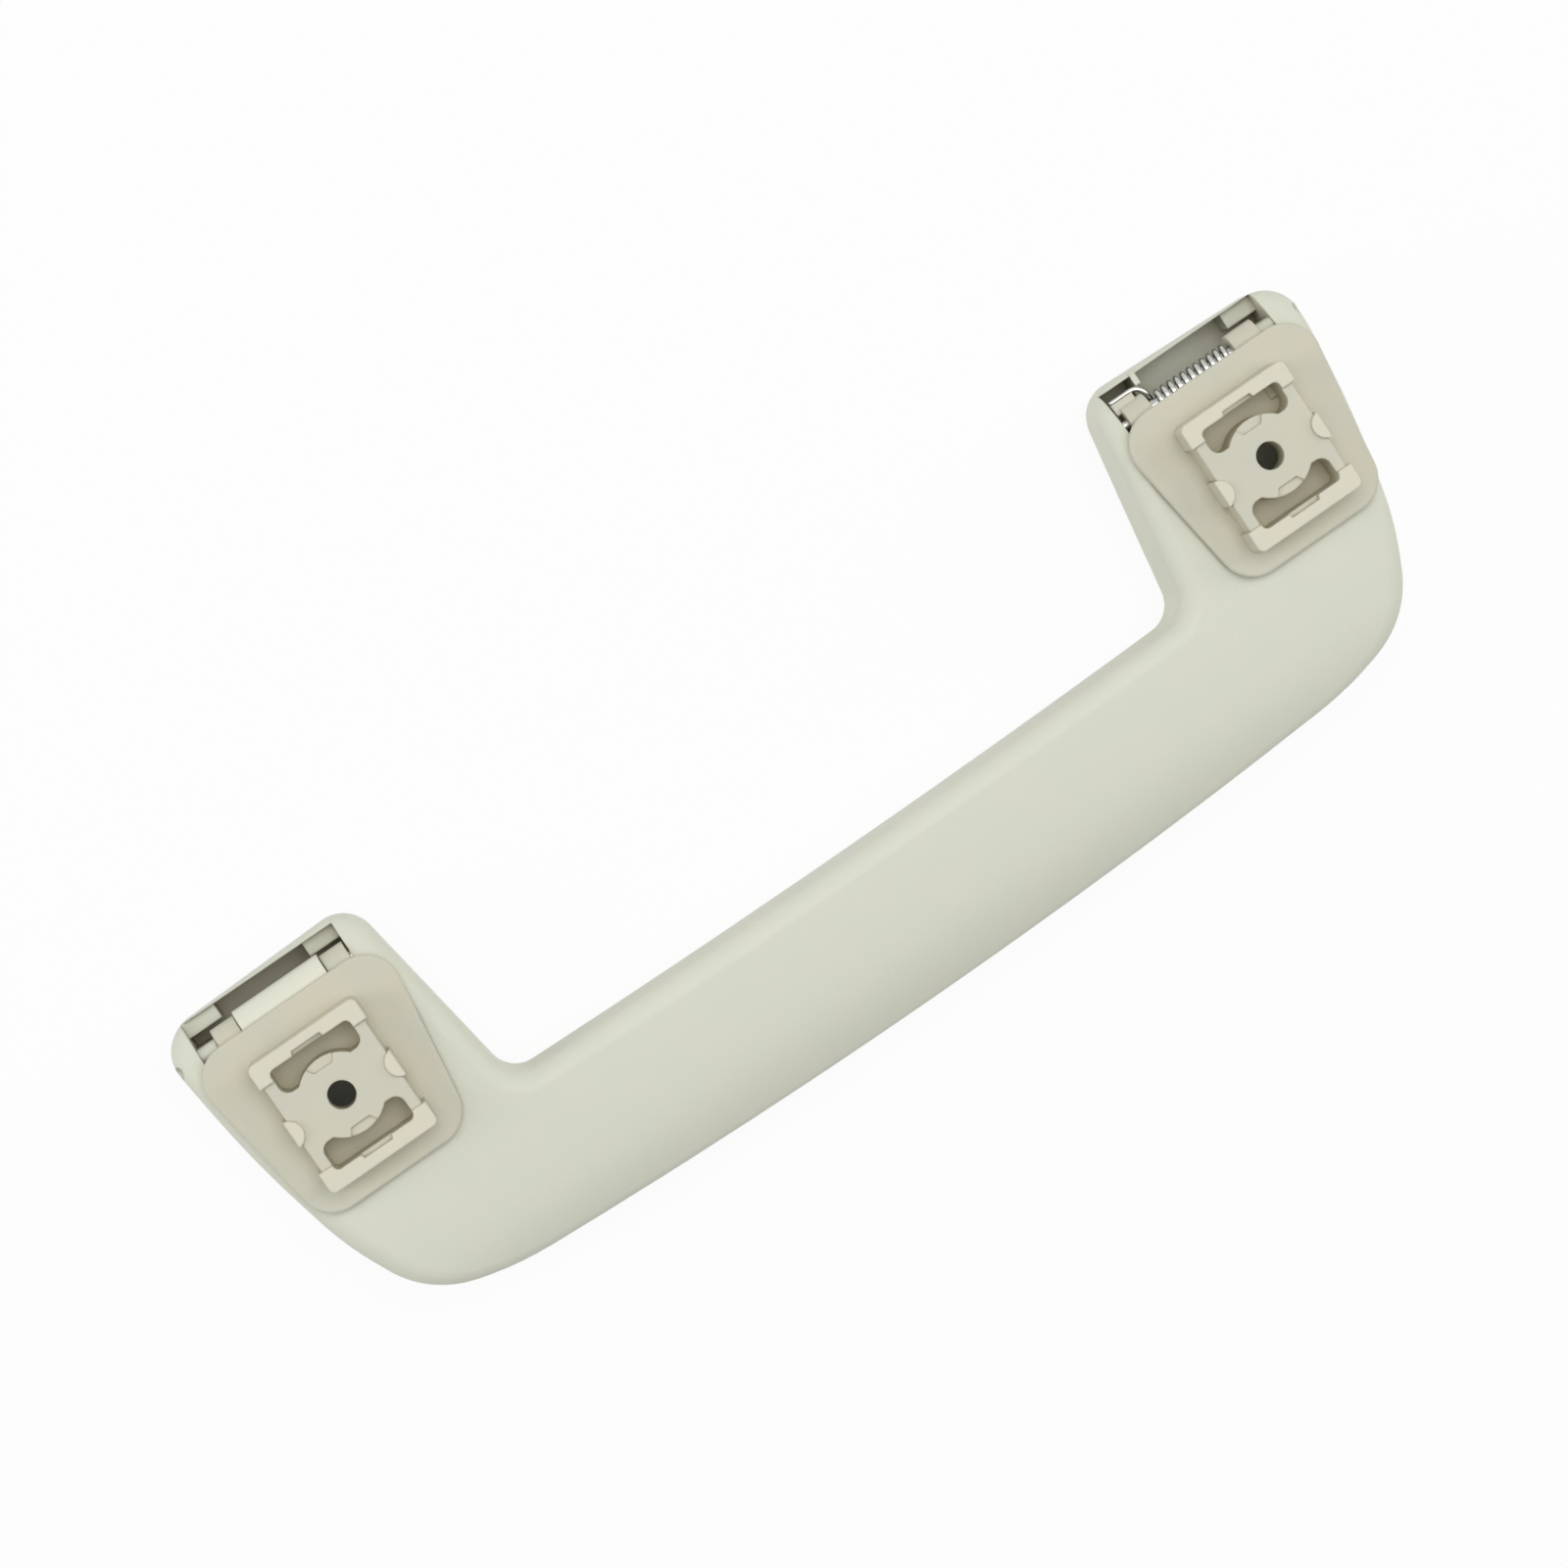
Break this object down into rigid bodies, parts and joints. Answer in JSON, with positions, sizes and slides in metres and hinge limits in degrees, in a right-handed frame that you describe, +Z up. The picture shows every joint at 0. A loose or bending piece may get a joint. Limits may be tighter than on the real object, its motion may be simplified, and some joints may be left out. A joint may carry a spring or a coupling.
{
  "type": "roof grab handle",
  "caption": "U-shaped moulded roof grab handle on hinged mounting brackets, one with a return spring and one with a rotary damper in an arm's open hinge pocket",
  "frame": {"origin": "midway between the mouths of the two screw holes in the locating blocks", "axes": "X along the hinge axis towards the spring end, Y from the grip towards the hinge, Z up into the roof"},
  "size_m": [0.2382, 0.0727, 0.03],
  "materials": {
    "handle_plastic": "fine satin grain",
    "bracket_plastic": "smooth satin",
    "damper_plastic": "smooth satin",
    "steel": "bright drawn wire",
    "seal_rubber": "plain"
  },
  "bodies": {
    "handle": {"handle_body": "handle_plastic", "damper_hinge_pin": "steel", "spring_hinge_pin": "steel", "torsion_spring": "steel", "damper_housing": "damper_plastic", "damper_end_cap": "damper_plastic", "damper_seal": "seal_rubber"},
    "damper_side": {"damper_bracket": "bracket_plastic", "damper_rotor": "damper_plastic"},
    "spring_side": {"spring_bracket": "bracket_plastic"}
  },
  "joints": [
    {"name": "damper_hinge", "type": "hinge", "parent": "handle", "child": "damper_side", "pos_m": [-0.0975, 0.0179, -0.0112], "axis": [-1, 0, 0], "range_deg": [0, 90]},
    {"name": "spring_hinge", "type": "hinge", "parent": "handle", "child": "spring_side", "pos_m": [0.0975, 0.0179, -0.0112], "axis": [-1, 0, 0], "range_deg": [0, 90], "stiffness_Nm_per_rad": 0.05, "springref_deg": -114.59, "deforming": ["torsion_spring"]}
  ]
}
